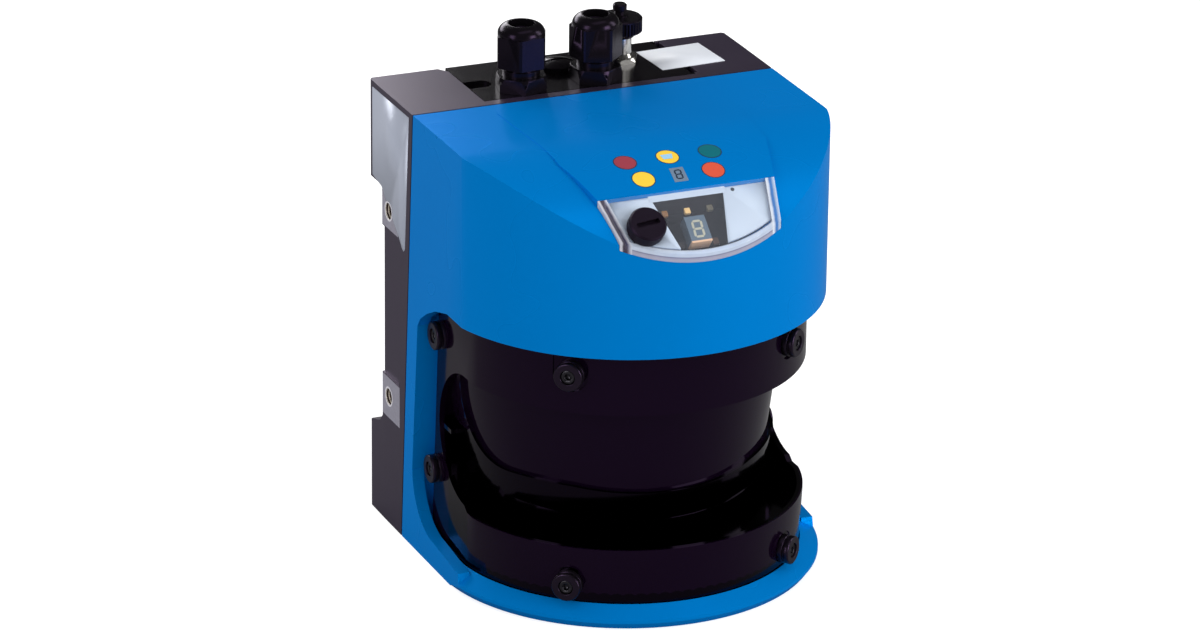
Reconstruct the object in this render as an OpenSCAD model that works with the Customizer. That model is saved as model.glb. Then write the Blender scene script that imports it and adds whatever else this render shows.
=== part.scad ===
// Safety laser scanner: a rotating-mirror area scanner in a two-part cast housing, standing on its base.
// The scan axis is vertical, the front faces -Y, and the origin is on the standing plane under the middle.

/* [Housing] */
// Width across the side faces
body_w = 155; // [154:0.5:156]
// Depth from the hood's front to the rear blocks
body_d = 160; // [159.5:0.5:161]
// Height of the flat top above the standing plane
body_h = 185; // [184:0.5:187]
// Radius of the hood's round front, seen from above
hood_r = 80; // [79.6:0.1:80.2]
// Height of the hood's lower edge
hood_z = 114.5; // [114:0.5:116]
// Radius of the bend that takes the top down to the front
top_bend_r = 82; // [80:1:86]
// Height of the base flange
flange_h = 8; // [7:0.5:9]
// Radius of the base flange's round front
flange_r = 79.4; // [79:0.1:79.8]
// Thickness of the cast walls
wall = 4; // [3.5:0.1:4.5]
// Where the two castings meet, at the base
joint_y_base = 45; // [44:0.5:46]
// Where the two castings meet, at the top
joint_y_top = 32.5; // [32:0.5:33]

/* [Optics] */
// Outer radius of the optics cover's bands
cover_r = 72.6; // [72.4:0.1:72.8]
// Top edge of the lower band
band_low_z = 31; // [30:0.5:32]
// Lower edge of the upper band, where the window begins
band_high_z = 88; // [87:0.5:89]
// Taper of the scan window on each side of its axis
window_taper = 7; // [6:0.1:8]
// Radius of the scan window at the upper band
window_r = 66.8; // [66.4:0.1:67]
// Height of the middle of the turning mirror
mirror_z = 68; // [66:0.5:70]

/* [Indicator window] */
// Distance of the visor edge in front of the middle
visor_front = 58; // [57:0.5:59]
// Slope of the indicator window below the horizontal
window_tilt = 40; // [39:0.5:41]
// Half width of the window at the visor
window_top_half = 37.2; // [36.5:0.1:38]
// Half width of the window at its lower corners
window_low_half = 33.3; // [33:0.1:34]

/* [Connections] */
// Width across the flats of a cable gland
gland_af = 19; // [18:0.5:20]
// Radius of the hole through a gland's seal
cable_r = 4; // [3:0.25:4.5]
// Radius of a mounting hole before its M8 thread is cut
thread_r = 3.4; // [3.3:0.05:3.5]
// Depth of a mounting hole
thread_depth = 9; // [8:0.5:10]

/* [Hidden] */
$fn = 96;
eps = 0.05;

half_w = body_w / 2;
rear_y = body_d / 2;
lean = (joint_y_base - joint_y_top) / body_h;      // how far the joint plane leans per millimetre of height
hood_cy = hood_r - body_d / 2;                     // centre of the hood's arc
axis_y = 0;
flange_cy = 0;
joint_gap = 0.4;                                   // half the thickness of the gasket between the castings

// bend of the top: flat back to here, then round
bend_y = -15;
bonnet_bend_r = 100;
bonnet_rise = 0.15;
bonnet_half_back = 46;
bonnet_half_mid = 43.6;
bonnet_mid_y = -36;
visor_y = -visor_front;
visor_z = body_h + bonnet_rise - bonnet_bend_r + sqrt(pow(bonnet_bend_r, 2) - pow(visor_y - bend_y, 2));
visor_step = 0.3;
window_low_y = -74.6;
window_t = 2.8;
skin_t = 1;                                        // of the clear window in front of the white sheet

// rear housing
block_low_z = 40;                                  // top of the lower rear block
block_high_z = 144;                                // underside of the upper rear block
mid_rear_y = 66;
side_hole_y = 59;
side_hole_low_z = 55.5;
side_hole_pitch = 80;
rear_hole_x = 51;
rear_hole_low_z = 20;
rear_hole_pitch = 145;
boss_r = 8;

// connection module in the top
module_x0 = -44.8;
module_x1 = 46;
module_y0 = 37.6;
module_h = 13;
module_gap = 0.4;
gland_xs = [-25.5, 6.5];
gland_y = 46.5;
plug_pos = [-3.5, 63.5];
signal_pos = [24.2, 64];

// optics cover
cover_half = 71;                                   // half width across the cover's flat sides
cover_wall = 2.4;
cover_low_z = 6.8;
cover_top_z = 116.5;
seal_z = 118;
floor_t = 3;
post = 6.4;                                        // reach of the side screws' posts
ring_r = 62.7;                                     // ring wall round the window's foot
window_cy = 11;                                    // centre of the ring wall and of the scan window
screw_front_angle = 40;
screw_front_z = [15.3, 104];
screw_side_z = [37.6, 96.4];
bushing_r = 5.8;
bushing_h = 4;                                     // how far a bushing stands out of the cover's round front
function screw_side_y(z) = 18.4 - lean * z;
function joint_y(z) = joint_y_base - lean * z;
function cover_back_y(z) = 28 - lean * z;
function leg_front_y(z) = 36.2 - 0.09 * z;
leg_t = 5;
channel_x = 66;                                    // half width over the bottoms of the two side channels

// ---------- shared shapes ----------

// extrudes a side view, drawn in Y and Z, across the width
module across(w) {
    rotate([90, 0, 90]) linear_extrude(w, center = true) children();
}

// plan with straight sides and a round front
module round_front_plan(r, cy, half, back) {
    intersection() {
        translate([0, cy]) circle(r);
        translate([-half, cy - r - 1]) square([2 * half, r + 1]);
    }
    translate([-half, cy]) square([2 * half, back - cy]);
}

// side view of everything in front of the joint plane, moved by off
module front_side(off = 0, low = -1, top = 190, front = -100) {
    polygon([[front, low], [joint_y(low) + off, low], [joint_y(top) + off, top], [front, top]]);
}

// side view below the bent top
module under_bend(r, top) {
    translate([bend_y, 0]) square([120, top]);
    intersection() {
        translate([bend_y, top - r]) circle(r);
        translate([bend_y - r - 1, top - r]) square([r + 1, r + 1]);
    }
    translate([bend_y - r, 0]) square([r, top - r]);
}

// puts children on the sloping window: origin at the middle of the visor edge, +Z out of the window
module on_window() {
    translate([0, visor_y, visor_z - visor_step]) rotate([window_tilt, 0, 0]) children();
}

// sweeps a wall's section (radius, height) round the front and straight back along both sides
module round_wall(back) {
    round_solid(axis_y, back) children();
}

// solid made of a half section (radius, height) turned round the front and run straight back
module round_solid(cy, back) {
    translate([0, cy, 0]) {
        rotate([0, 0, 180]) rotate_extrude(angle = 180) children();
        for (s = [0, 1]) mirror([s, 0, 0]) rotate([90, 0, 180]) mirror([1, 0, 0])
            linear_extrude(back - cy) children();
    }
}

module hexagon(af) {
    circle(r = af / 2 / cos(30), $fn = 6);
}

module at_front_screws(zs = screw_front_z) {
    for (s = [-1, 1], z = zs) translate([0, axis_y, z]) rotate([0, 0, s * screw_front_angle])
        translate([0, -cover_r, 0]) rotate([90, 0, 0]) children();
}

// the side screws sit higher, on longer bushings
side_lift = 2.4;
module at_side_screws() {
    for (s = [-1, 1], z = screw_side_z) translate([s * (cover_half + side_lift), screw_side_y(z), z])
        rotate([0, s * 90, 0]) children();
}

// ---------- castings ----------

// side view of a leg: leaning front edge, a sloping corner under the hood and a hollow foot
module leg_side() {
    foot_r = 22.7;
    foot_z = 33.6;
    foot_y = leg_front_y(foot_z) - foot_r - 0.2;
    difference() {
        polygon([[joint_y(0) - joint_gap, 0], [joint_y(hood_z + 6) - joint_gap, hood_z + 6],
            [-4, hood_z + 6], [-4, hood_z], [8.4, hood_z - 3.4], [17.4, hood_z - 7.8], [24.4, hood_z - 12.4],
            [leg_front_y(98), 98], [leg_front_y(foot_z), foot_z], [foot_y, foot_z],
            [foot_y, foot_z - foot_r], [-16, flange_h + 0.2], [-17, 4], [-8, 0]]);
        translate([foot_y, foot_z]) circle(foot_r);
    }
}

module flange_plan() {
    round_front_plan(flange_r, flange_cy, half_w, 60);
}

module bonnet_plan(inset = 0) {
    polygon([[-bonnet_half_back + inset, 22], [bonnet_half_back - inset, 22],
        [bonnet_half_mid - inset, bonnet_mid_y], [window_top_half - inset, visor_y],
        [-window_top_half + inset, visor_y], [-bonnet_half_mid + inset, bonnet_mid_y]]);
}

// plan of the indicator window, which narrows towards the front
module window_plan(inset = 0) {
    polygon([[-window_top_half + inset, visor_y - inset], [window_top_half - inset, visor_y - inset],
        [window_low_half - inset, window_low_y], [window_low_half - 4.5 - inset, -90],
        [-window_low_half + 4.5 + inset, -90], [-window_low_half + inset, window_low_y]]);
}

// plan of the white sheet: narrower than the window, its rear edge that far in front of the visor
module sheet_plan(inset, rear) {
    polygon([[-window_top_half + inset, visor_y - rear], [window_top_half - inset, visor_y - rear],
        [window_low_half - inset, window_low_y], [window_low_half - 4.5 - inset, -90],
        [-window_low_half + 4.5 + inset, -90], [-window_low_half + inset, window_low_y]]);
}

// everything above the window's plane lowered by depth
module above_window(depth, height = 40) {
    on_window() translate([-60, -60, -depth]) cube([120, 90, height]);
}

module front_housing() {
    color([0, 0.43, 0.76]) {
        difference() {
            union() {
                // hood
                intersection() {
                    translate([0, 0, hood_z]) linear_extrude(100)
                        round_front_plan(hood_r, hood_cy, half_w, 60);
                    across(200) under_bend(top_bend_r, body_h);
                    across(200) front_side(-joint_gap);
                }
                // raised bonnet that carries the legends and ends in the visor
                intersection() {
                    translate([0, 0, hood_z + 10]) linear_extrude(100) bonnet_plan();
                    across(200) under_bend(bonnet_bend_r, body_h + bonnet_rise);
                }
            }
            // inside of the hood, open to the rear
            intersection() {
                translate([0, 0, seal_z + floor_t]) linear_extrude(100)
                    round_front_plan(hood_r - wall, hood_cy, half_w - wall, 60);
                across(200) under_bend(top_bend_r - wall, body_h - wall);
            }
            // room for the optics cover under the hood's floor
            translate([0, 0, hood_z - 1]) linear_extrude(seal_z - hood_z + 1)
                round_front_plan(hood_r - wall, hood_cy, half_w - leg_t, leg_front_y(hood_z) - 1);
            translate([0, axis_y, hood_z - 1]) cylinder(r = 33, h = seal_z - hood_z + floor_t + 2);
            // seat and opening of the indicator window
            intersection() {
                translate([0, 0, hood_z + 20]) linear_extrude(100) window_plan(-0.2);
                above_window(window_t + 0.1);
            }
            intersection() {
                translate([0, 0, hood_z + 20]) linear_extrude(100) sheet_plan(4.5, 0.4);
                above_window(14);
                translate([0, 0, hood_z]) linear_extrude(100)
                    round_front_plan(hood_r - wall, hood_cy, half_w, 60);
            }
        }
        // legs
        for (s = [-1, 1]) intersection() {
            translate([s * (half_w - leg_t / 2), 0, 0]) across(leg_t) leg_side();
            union() {
                linear_extrude(60) flange_plan();
                translate([0, 0, 60 - eps]) linear_extrude(80) round_front_plan(hood_r, hood_cy, half_w, 60);
            }
        }
        // base plate, its top sloping up to the cover
        difference() {
            intersection() {
                linear_extrude(flange_h) flange_plan();
                round_solid(flange_cy, 60) polygon([[0, 0], [flange_r - 2, 0], [flange_r, 2.8], [flange_r, 4.1],
                    [flange_r - 7.4, flange_h], [0, flange_h]]);
                across(200) front_side(-joint_gap);
            }
            translate([0, axis_y, flange_h - 1.4]) linear_extrude(3) round_front_plan(cover_r - 0.6, 0, cover_half + 0.4, 60);
            for (a = [45 : 90 : 315]) translate([0, axis_y, -1]) rotate([0, 0, a]) translate([24, 0, 0])
                cylinder(r = 1.6, h = flange_h + 2);
        }
        // wall behind the optics, with an upright channel on each side between the cover and the leg
        difference() {
            union() {
                across(2 * channel_x) polygon([
                    [cover_back_y(flange_h - 2) + 0.3, flange_h - 2], [leg_front_y(flange_h - 2) + 3, flange_h - 2],
                    [leg_front_y(seal_z) + 3, seal_z + eps], [cover_back_y(seal_z) + 0.3, seal_z + eps]]);
                across(body_w - 2 * leg_t + eps) polygon([
                    [leg_front_y(flange_h - 2), flange_h - 2], [leg_front_y(flange_h - 2) + 3, flange_h - 2],
                    [leg_front_y(seal_z) + 3, seal_z + eps], [leg_front_y(seal_z), seal_z + eps]]);
            }
            translate([-45, 0, 18]) cube([90, 60, 101]);
        }
        // posts that take the cover's screws
        difference() {
            union() {
                for (s = [-1, 1]) {
                    for (i = [0, 1]) translate([0, axis_y, 0]) rotate([0, 0, s * screw_front_angle])
                        translate([-4, -cover_r + cover_wall + 1.6, i == 0 ? flange_h - 2 : screw_front_z[1] - 4])
                            cube([8, 8, i == 0 ? screw_front_z[0] + 3 - flange_h + 2 : seal_z - screw_front_z[1] + 4.5]);
                    for (z = screw_side_z) translate([s > 0 ? cover_half - cover_wall - post + 0.4 : -cover_half + cover_wall + 0.4,
                            screw_side_y(z) - 3.6, z - 3.6])
                        cube([post - 0.8, cover_back_y(z) + 0.8 - screw_side_y(z) + 3.6, 7.2]);
                }
            }
            at_front_screws() translate([0, 0, -12]) cylinder(r = 1.55, h = 14, $fn = 32);
            at_side_screws() translate([0, 0, -14]) cylinder(r = 1.55, h = 14, $fn = 32);
        }
    }
}

// side view of the rear casting: two blocks that reach back and a set-back middle
module rear_side(inset = 0) {
    polygon([[joint_y(0) + joint_gap, inset], [rear_y - inset, inset],
        [rear_y - inset, block_low_z - 2 - inset], [mid_rear_y + 3 - inset, block_low_z + 1.5 - inset],
        [mid_rear_y - inset, block_low_z + 5 - inset],
        [mid_rear_y - inset, block_high_z - 1 + inset], [mid_rear_y + 1 - inset, block_high_z + inset],
        [rear_y - inset, block_high_z + inset], [rear_y - inset, body_h - inset],
        [joint_y(body_h) + joint_gap, body_h - inset]]);
}

module rear_plan(inset = 0) {
    corner = 1;
    polygon([[-half_w + inset, 20], [-half_w + inset, 64], [-half_w + 0.2 + inset, rear_y - corner - inset],
        [-half_w + 0.2 + corner + inset, rear_y - inset], [half_w - 0.2 - corner - inset, rear_y - inset],
        [half_w - 0.2 - inset, rear_y - corner - inset], [half_w - inset, 64], [half_w - inset, 20]]);
}

module m8_hole() {
    translate([0, 0, -thread_depth]) cylinder(r = thread_r, h = thread_depth + 1, $fn = 48);
}

module at_side_holes() {
    for (s = [-1, 1], k = [0, 1])
        translate([s * half_w, side_hole_y, side_hole_low_z + k * side_hole_pitch]) rotate([0, s * 90, 0]) children();
}

module at_rear_holes() {
    for (s = [-1, 1], k = [0, 1])
        translate([s * rear_hole_x, rear_y, rear_hole_low_z + k * rear_hole_pitch]) rotate([-90, 0, 0]) children();
}

module module_pocket_plan(grow) {
    translate([module_x0 - grow, module_y0 - grow])
        square([module_x1 - module_x0 + 2 * grow, rear_y + 5 - module_y0 + grow]);
}

// two square notches in the right seam of the module
module seam_notches() {
    for (y = [[38.8, 8.6], [70.5, 7.6]]) translate([module_x1 - 1.3, y[0], body_h - 3]) cube([3, y[1], 4]);
}

module rear_housing() {
    color([0.13, 0.12, 0.14]) difference() {
        union() {
            difference() {
                intersection() {
                    linear_extrude(body_h) rear_plan();
                    across(200) rear_side();
                }
                // shallow channel in each side between the mounting pads
                for (s = [-1, 1]) translate([s * half_w, 0, 0]) across(2)
                    polygon([[48, 64.2], [70, 64.2], [70, 127.6], [48, 127.6]]);
                // inside
                difference() {
                    intersection() {
                        translate([0, 0, -1]) linear_extrude(body_h + 2) rear_plan(wall);
                        across(200) rear_side_inside();
                    }
                    translate([-60, 0, body_h - module_h - 5]) cube([120, 100, 40]);
                }
            }
            intersection() {
                union() {
                    at_side_holes() translate([0, 0, -thread_depth - 3]) cylinder(r = boss_r, h = thread_depth + 2, $fn = 48);
                    at_rear_holes() translate([0, 0, -thread_depth - 7]) cylinder(r = boss_r, h = thread_depth + 6, $fn = 48);
                }
                across(200) rear_side();
            }
        }
        at_side_holes() m8_hole();
        at_rear_holes() m8_hole();
        // seat of the connection module, with a chamfered rear corner on the left ear
        translate([0, 0, body_h - module_h - 0.5]) linear_extrude(60) module_pocket_plan(module_gap);
        translate([-32, 42, 140]) cube([64, 32, 60]);
        translate([0, 0, body_h - module_h - 0.5]) linear_extrude(60)
            polygon([[module_x0 - 4, rear_y + 1], [module_x0, rear_y + 1], [module_x0, rear_y - 5]]);
        seam_notches();
        // seats of the rating label and the joint's shadow line
        translate([-half_w - 1, 0, 0]) across(2.6) label_outline(0.2);
    }
}

module rear_side_inside() {
    polygon([[20, wall], [rear_y - wall, wall], [rear_y - wall, block_low_z - 2 - wall],
        [mid_rear_y - wall, block_low_z + 3 - wall], [mid_rear_y - wall, block_high_z + wall],
        [rear_y - wall, block_high_z + wall], [rear_y - wall, body_h - wall], [20, body_h - wall]]);
}

module housing_gasket() {
    color([0.05, 0.05, 0.05]) difference() {
        intersection() {
            translate([-half_w + 0.5, 20, 0.4]) cube([body_w - 1, 40, body_h - 0.8]);
            across(200) polygon([[joint_y(0) - joint_gap, 0], [joint_y(0) + joint_gap, 0],
                [joint_y(body_h) + joint_gap, body_h], [joint_y(body_h) - joint_gap, body_h]]);
        }
        translate([-half_w + wall - 0.5, 0, wall - 0.5]) cube([body_w - 2 * wall + 1, 100, body_h - 2 * wall + 1]);
    }
}

// ---------- connection module ----------

module connection_module() {
    color([0.12, 0.11, 0.13]) difference() {
        union() {
            translate([0, 0, body_h - module_h]) linear_extrude(module_h) intersection() {
                module_pocket_plan(0);
                translate([-100, 0]) square([200, rear_y]);
            }
            translate([-30, 44, 150]) cube([60, 28, body_h - module_h - 150 + eps]);
        }
        translate([-27, 47, 149]) cube([54, 22, 28]);
        for (x = gland_xs) translate([x, gland_y + 0.5, 170]) cylinder(r = 7.6, h = 20);
        translate([plug_pos[0], plug_pos[1], 170]) cylinder(r = 6, h = 20);
        translate([signal_pos[0], signal_pos[1], 170]) cylinder(r = 5.8, h = 20);
        // round-ended slot that opens into the left seam, over the module's screw
        translate([0, 0, body_h - 6]) {
            translate([-38.5, 57, 0]) cylinder(r = 4, h = 7);
            translate([-50, 53, 0]) cube([11.5, 8, 7]);
            translate([-38.5, 57, -8]) cylinder(r = 2.2, h = 10, $fn = 32);
        }
        seam_notches();
    }
}

module module_screw() {
    color([0.55, 0.55, 0.57]) translate([-38.5, 57, body_h - 6]) difference() {
        union() {
            cylinder(r = 3.5, h = 4, $fn = 48);
            translate([0, 0, -7]) cylinder(r = 2, h = 7 + eps, $fn = 32);
        }
        translate([0, 0, 2]) linear_extrude(3) hexagon(3);
    }
}

// one cable gland, standing on the module's top
neck_r = 6.6;
nut_z0 = 9.9;
nut_hex_top = 21.4;
nut_top = 27.2;

module gland_body(turn) {
    color([0.08, 0.07, 0.08]) difference() {
        union() {
            intersection() {
                rotate([0, 0, turn]) linear_extrude(6) hexagon(gland_af);
                cylinder(r1 = gland_af / 2 + 2, r2 = gland_af / 2 + 0.6, h = 6);
            }
            cylinder(r = 7.4, h = 8.4);
            cylinder(r = neck_r, h = 19);
            translate([0, 0, -9]) cylinder(r = 7.5, h = 9 + eps);
        }
        translate([0, 0, -10]) cylinder(r = 5.3, h = 30);
    }
}

module gland_seal() {
    color([0.03, 0.03, 0.03]) rotate_extrude()
        polygon([[cable_r, 10], [5.2, 10], [5.2, 19], [5.6, 19.4], [5.6, 22.5], [5, 24.2], [cable_r, 24.6]]);
}

// dome nut: hexagon below, round shoulder above, with a wide round mouth
module gland_nut(turn) {
    dome_r = 4.3;
    color([0.08, 0.07, 0.08]) rotate([0, 0, turn]) difference() {
        intersection() {
            translate([0, 0, nut_z0]) linear_extrude(nut_top - nut_z0) hexagon(gland_af);
            rotate_extrude() {
                square([gland_af / 2 + 1.2, nut_top - dome_r]);
                square([gland_af / 2 + 0.1 - dome_r, nut_top]);
                intersection() {
                    translate([gland_af / 2 + 0.1 - dome_r, nut_top - dome_r]) circle(dome_r);
                    translate([gland_af / 2 + 0.1 - dome_r, nut_top - dome_r]) square(20);
                }
            }
        }
        translate([0, 0, 8]) cylinder(r = neck_r + 0.06, h = 14);
        translate([0, 0, 20]) cylinder(r1 = 6.2, r2 = 5.2, h = 8);
    }
}

function gland_pos(i) = [gland_xs[i], gland_y + 0.5, body_h];

module gland_body_left() { translate(gland_pos(0)) gland_body(17); }
module gland_seal_left() { translate(gland_pos(0)) gland_seal(); }
module gland_nut_left() { translate(gland_pos(0)) gland_nut(7); }
module gland_body_right() { translate(gland_pos(1)) gland_body(32); }
module gland_seal_right() { translate(gland_pos(1)) gland_seal(); }
module gland_nut_right() { translate(gland_pos(1)) gland_nut(43); }

module blanking_plug() {
    color([0.08, 0.07, 0.08]) translate([plug_pos[0], plug_pos[1], body_h]) difference() {
        union() {
            rotate_extrude() intersection() {
                translate([0, -17.5]) circle(21.5);
                square([8, 5]);
            }
            translate([0, 0, -9]) cylinder(r = 5.9, h = 9 + eps);
        }
        translate([-9, -0.9, 2.2]) rotate([0, 0, 0]) cube([18, 1.8, 4]);
    }
}

// nickel-plated round connector socket with a hexagonal flange
module signal_socket() {
    color([0.75, 0.75, 0.73]) translate([signal_pos[0], signal_pos[1], body_h]) difference() {
        union() {
            translate([0, 0, -8]) cylinder(r = 5.7, h = 8 + eps);
            intersection() {
                linear_extrude(2.2) hexagon(14);
                cylinder(r1 = 8.4, r2 = 7, h = 2.2);
            }
            translate([0, 0, 2.2 - eps]) cylinder(r1 = 5.8, r2 = 4.9, h = 1.4);
            cylinder(r = 4.9, h = 15.5);
        }
        translate([0, 0, 6]) cylinder(r = 3.9, h = 10);
        translate([0, 0, -9]) cylinder(r = 2.5, h = 11);
    }
}

signal_cap_z = 10.4;

// protective cap of the socket: knurled rim, inner skirt and a button on top
module signal_cap() {
    ribs = 40;
    color([0.07, 0.06, 0.07]) translate([signal_pos[0], signal_pos[1], body_h]) {
        difference() {
            rotate_extrude() polygon([[0, signal_cap_z], [5.9, signal_cap_z], [6, 11.6], [8.8, 12.4], [9.2, 12.8],
                [9.2, 18], [8.6, 18.6], [3.4, 18.8], [3.4, 19.2], [2.1, 19.4], [2.1, 20.8], [2.8, 21.3], [2.9, 23.4],
                [2.3, 24], [0, 24]]);
            translate([0, 0, signal_cap_z - 1]) cylinder(r = 4.96, h = 6.2);
            for (i = [0 : ribs - 1]) rotate([0, 0, i * 360 / ribs])
                translate([9.2, 0, 12]) cylinder(r = 0.45, h = 5.6, $fn = 4);
        }
        translate([0, 0, signal_cap_z + 1]) cylinder(r = 3.4, h = 5);
    }
}

// ---------- labels ----------

// the label keeps clear of the upper threaded hole
module label_outline(grow = 0) {
    difference() {
        polygon([[76.6 + grow, 182.4 + grow], [36.8 - grow, 182.4 + grow], [41.2 - grow, 125.6],
            [42.6, 124 - grow], [44.4 + grow, 125], [47.4 + grow, 128.1 - grow], [66.8, 143.6 - grow],
            [76.6 + grow, 145.2 - grow]]);
        translate([side_hole_y, side_hole_low_z + side_hole_pitch]) circle(r = thread_r + 0.8 - grow, $fn = 48);
    }
}

module rating_label() {
    color([0.7, 0.72, 0.78]) translate([-half_w + 0.3 - 0.15, 0, 0]) intersection() {
        across(0.3) label_outline();
        translate([-5, 20, 100]) cube([10, 56.6, 100]);
    }
}

module check_sticker() {
    color([0.9, 0.91, 0.93]) translate([48.8, 58.4, body_h]) rotate([0, 0, 3]) translate([-14, -12, 0]) cube([28, 24, 0.2]);
}

// ---------- indicator window ----------

module window_cover() {
    color([0.8, 0.86, 0.92, 0.4]) difference() {
        intersection() {
            translate([0, 0, hood_z + 20]) linear_extrude(100) window_plan();
            translate([0, 0, hood_z]) linear_extrude(100) round_front_plan(hood_r, hood_cy, half_w, 60);
            above_window(window_t, window_t);
        }
        // pocket for the white sheet, open under the visor
        intersection() {
            translate([0, 0, hood_z + 20]) linear_extrude(100) sheet_plan(3.8, -1);
            translate([0, 0, hood_z]) linear_extrude(100) round_front_plan(hood_r - 3, hood_cy, half_w, 60);
            above_window(window_t + 1, window_t + 1 - skin_t);
        }
        translate(port_at()) rotate([window_tilt, 0, 0]) cylinder(r = 6.2, h = 20, center = true);
    }
}

port_x = -22.6;
port_down = 15.6;                                  // distance of the service port below the visor edge, down the window
function port_at() = [port_x, visor_y - port_down * cos(window_tilt), visor_z - visor_step - port_down * sin(window_tilt)];

// sheet behind the window, with a cut-out that narrows towards the front
module indicator_panel() {
    color([0.86, 0.9, 0.94]) difference() {
        intersection() {
            translate([0, 0, hood_z + 20]) linear_extrude(100) sheet_plan(4, 0.1);
            translate([0, 0, hood_z]) linear_extrude(100) round_front_plan(hood_r - 3.2, hood_cy, half_w, 60);
            above_window(skin_t + 0.7, 0.6);
        }
        on_window() translate([0, 0, -10]) linear_extrude(20)
            polygon([[-15.2, -2], [15.2, -2], [8.9, -29.2], [-8.9, -29.2]]);
        translate(port_at()) rotate([window_tilt, 0, 0]) cylinder(r = 6.2, h = 20, center = true);
    }
}

board_depth = 7;                                   // of the display board's front below the window's face

module display_board() {
    color([0.1, 0.11, 0.12]) difference() {
        on_window() translate([-24, -24.5, -board_depth - 1.6]) cube([48, 22, 1.6]);
        translate(port_at()) rotate([window_tilt, 0, 0]) cylinder(r = 5.4, h = 40, center = true);
    }
}

module digit_display() {
    color([0.45, 0.5, 0.54]) on_window() translate([-4.3, -22.8, -board_depth]) cube([8.6, 11.6, board_depth - 1.7]);
}

module status_leds() {
    color([1, 0.75, 0.35]) on_window() {
        for (x = [-9.5, 0, 9.5]) translate([x - 1.2, -7.8, -board_depth]) cube([2.4, 2.8, 1.6]);
        for (x = [-7.2, 7.2]) translate([x - 1.2, -22.6, -board_depth]) cube([2.4, 2.8, 1.6]);
    }
}

// threaded service socket under the round cap
module service_port() {
    color([0.12, 0.12, 0.13]) translate(port_at()) rotate([window_tilt, 0, 0]) difference() {
        union() {
            translate([0, 0, -board_depth - 5]) cylinder(r = 5.2, h = board_depth + 5.2 + 2.6);
            translate([0, 0, -6.9]) cylinder(r = 5.45, h = 4.6);
        }
        translate([0, 0, -2]) cylinder(r = 3.4, h = 6);
        for (a = [90, 210, 330]) rotate([0, 0, a]) translate([2, 0, -4]) cylinder(r = 0.5, h = 3, $fn = 24);
    }
}

module port_cap() {
    color([0.06, 0.05, 0.06]) translate(port_at()) rotate([window_tilt, 0, 0]) difference() {
        union() {
            translate([0, 0, 0.3]) cylinder(r = 7.1, h = 1.4);
            translate([0, 0, 1.6]) cylinder(r = 7.5, h = 3.6);
            translate([0, 0, 5.2 - eps]) cylinder(r1 = 7.5, r2 = 6.8, h = 0.9);
        }
        translate([0, 0, -1]) cylinder(r = 5.26, h = 4);
        rotate([0, 0, 7]) translate([-4.8, -1, 4.1]) cube([9.6, 2, 3]);
    }
}

// ---------- optics cover ----------

// side view of the scan opening in the outer wall: round at the rear, its lower edge rising to it
module outer_opening() {
    r = 27.5;
    cy = -7.5;
    cz = band_high_z - r;
    translate([cy, cz]) circle(r);
    polygon([[-120, band_low_z], [-9.5, band_low_z], [17.3, 49.5], [cy + r / 2, cz], [cy, band_high_z],
        [-120, band_high_z]]);
}

// side view of the lip's opening nested in it, grown by that much
module lip_opening(grow = 0) {
    r = 22 + grow;
    cy = -0.5;
    cz = 69.5;
    translate([cy, cz]) circle(r);
    polygon([[-120, 33 - grow], [-52, 34.2 - grow], [-43, 36 - grow], [-31, 37.8 - grow], [-10, 40 - grow],
        [-1, 43.8 - grow], [11 + grow, 52 - grow / 2], [cy + r * 0.7, cz], [cy, cz + r], [-120, cz + r]]);
}

// side view of the scan window's own edge
module window_opening() {
    r = 25;
    cy = -18;
    cz = 75.2;
    translate([cy, cz]) circle(r);
    polygon([[-120, 45], [-52, 46.6], [-40, 49.4], [-30, 50.2], [cy, cz - r], [cy, cz + r], [-120, cz + r]]);
}

// side view of everything in front of the cover's leaning rear face
module cover_side(off = 0, low = -1, high = 190) {
    polygon([[-100, low], [cover_back_y(low) + off, low], [cover_back_y(high) + off, high], [-100, high]]);
}

// cone of the scan window, grown by off
module window_cone(off) {
    up = 40;
    down = 75;
    translate([0, window_cy, band_high_z - down])
        cylinder(r1 = window_r + off - down * tan(window_taper), r2 = window_r + off + up * tan(window_taper),
            h = down + up, $fn = 128);
}

// plan of the ring wall, straight behind its centre
module ring_plan(shrink = 0) {
    translate([0, window_cy]) circle(ring_r - shrink);
    translate([-ring_r + shrink, window_cy]) square([2 * (ring_r - shrink), 40]);
}

// body of the cover's outer wall, moved in by that much
module cover_body(inset) {
    intersection() {
        round_solid(axis_y, 40) polygon([[0, cover_low_z - 1], [cover_r - 1.2 - inset, cover_low_z - 1],
            [cover_r - inset, band_low_z - 2], [cover_r - inset, cover_top_z + 1], [0, cover_top_z + 1]]);
        translate([-cover_half + inset, -100, cover_low_z - 2 + (inset > 0 ? 0 : 2)])
            cube([2 * (cover_half - inset), 200, cover_top_z - cover_low_z + (inset > 0 ? 4 : 0)]);
    }
}

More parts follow.
